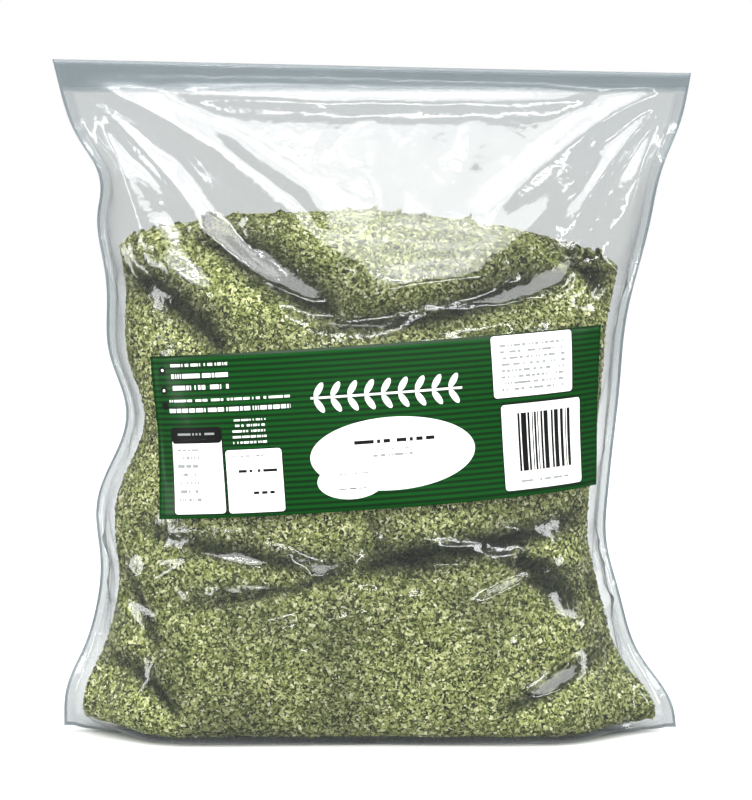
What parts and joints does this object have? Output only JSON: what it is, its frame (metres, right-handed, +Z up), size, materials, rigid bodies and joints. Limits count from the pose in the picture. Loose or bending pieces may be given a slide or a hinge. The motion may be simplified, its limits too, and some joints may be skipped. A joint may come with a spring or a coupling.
{
  "type": "clear film bag of dried parsley",
  "caption": "Clear heat-sealed pillow bag of dried parsley flakes, standing on its slumped base, with one wide printed label across the front.",
  "frame": {"origin": "middle of the base, on the surface that the bag stands on", "axes": "+Z up towards the top weld, -Y out of the labelled front, +X to the right seen from the front"},
  "size_m": [0.3006, 0.1144, 0.3201],
  "materials": {
    "film": "clear glossy plastic film",
    "parsley": "matte dried leaf flakes, olive green with pale flecks",
    "label": "glossy printed film label, green with white panels"
  },
  "bodies": {
    "root": {"film_front": "film", "film_back": "film", "parsley_flakes": "parsley", "label": "label"}
  },
  "joints": []
}
